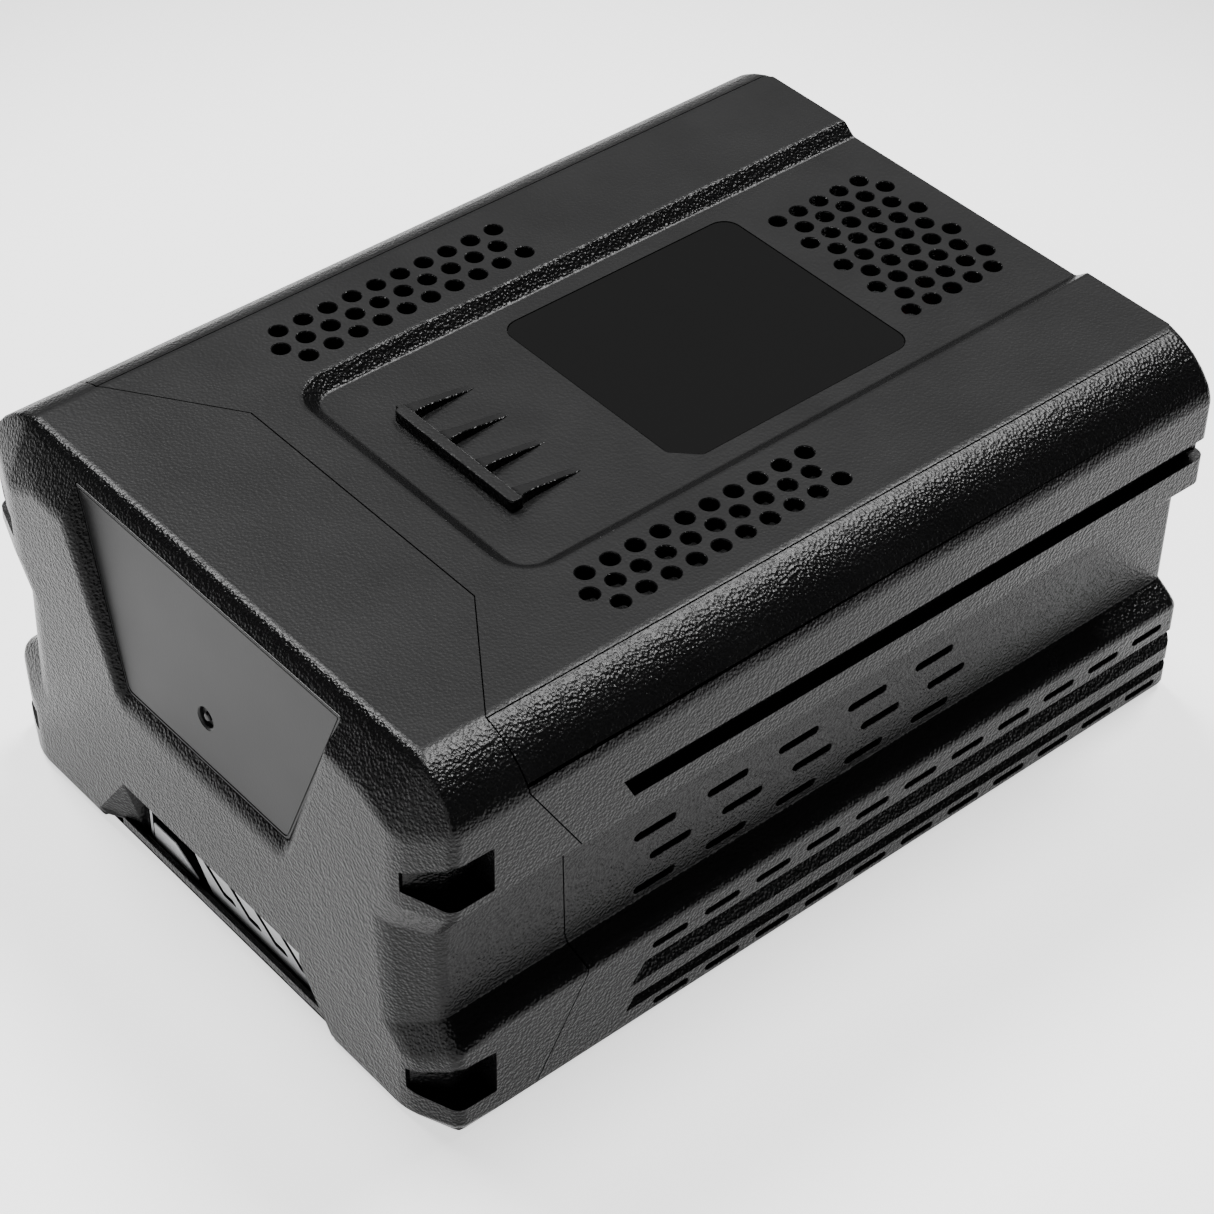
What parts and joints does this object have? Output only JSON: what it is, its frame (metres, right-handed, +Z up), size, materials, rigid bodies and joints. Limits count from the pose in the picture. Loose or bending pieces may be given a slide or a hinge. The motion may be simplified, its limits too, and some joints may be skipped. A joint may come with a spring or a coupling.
{
  "type": "slide-in lithium-ion battery pack",
  "caption": "Block-shaped rechargeable pack with side guide grooves, top latch catch, vent holes and a front charge gauge with a push button.",
  "frame": {"origin": "centre of the base, on the surface the pack stands on", "axes": "+Z up, -Y the front end with the charge gauge, +Y the terminal end that enters the tool, +X across the pack"},
  "size_m": [0.1428, 0.196, 0.0876],
  "materials": {
    "shell": "moulded, fine spark-eroded grain",
    "panel": "satin, smooth",
    "label": "flat printed film",
    "gauge_grey": "satin grey",
    "gauge_window": "frosted",
    "nylon": "moulded nylon",
    "board": "green solder mask",
    "cell_sleeve": "shrink sleeve over a metal can",
    "holder": "moulded",
    "insulator": "fibre sheet",
    "foam": "closed-cell foam",
    "contact_brass": "bright",
    "zinc_steel": "zinc plated",
    "lead_black": "insulated",
    "lead_red": "insulated"
  },
  "bodies": {
    "housing": {"cell_pair_01": "cell_sleeve", "cell_pair_02": "cell_sleeve", "cell_pair_03": "cell_sleeve", "cell_pair_04": "cell_sleeve", "cell_pair_05": "cell_sleeve", "cell_pair_06": "cell_sleeve", "cell_pair_07": "cell_sleeve", "cell_pair_08": "cell_sleeve", "cell_pair_09": "cell_sleeve", "cell_pair_10": "cell_sleeve", "cell_pair_11": "cell_sleeve", "cell_pair_12": "cell_sleeve", "cell_pair_13": "cell_sleeve", "cell_pair_14": "cell_sleeve", "cell_pair_15": "cell_sleeve", "cell_pair_16": "cell_sleeve", "cell_pair_17": "cell_sleeve", "cell_pair_18": "cell_sleeve", "cell_pair_19": "cell_sleeve", "cell_pair_20": "cell_sleeve", "control_board": "board", "front_cover": "shell", "front_pad": "foam", "front_panel": "panel", "fuse": "zinc_steel", "gauge_board": "board", "gauge_lead": "lead_black", "gauge_panel": "gauge_grey", "gauge_switch": "nylon", "gauge_window_1": "gauge_window", "gauge_window_2": "gauge_window", "gauge_window_3": "gauge_window", "gauge_window_4": "gauge_window", "housing_screw_1": "zinc_steel", "housing_screw_2": "zinc_steel", "housing_screw_3": "zinc_steel", "housing_screw_4": "zinc_steel", "label_plate": "label", "lower_cell_holder": "holder", "lower_insulator": "insulator", "main_housing": "shell", "negative_lead": "lead_black", "positive_lead": "lead_red", "rear_pad": "foam", "terminal_1": "contact_brass", "terminal_2": "contact_brass", "terminal_3": "contact_brass", "terminal_4": "contact_brass", "terminal_5": "contact_brass", "terminal_block": "nylon", "thermistor": "nylon", "top_cover": "shell", "upper_cell_holder": "holder", "upper_insulator": "insulator"},
    "button": {"gauge_button": "gauge_grey"}
  },
  "joints": [
    {"name": "button_press", "type": "slide", "parent": "housing", "child": "button", "axis": [0, 1, 0], "range_m": [0, 0.0008], "stiffness_N_per_m": 400}
  ]
}
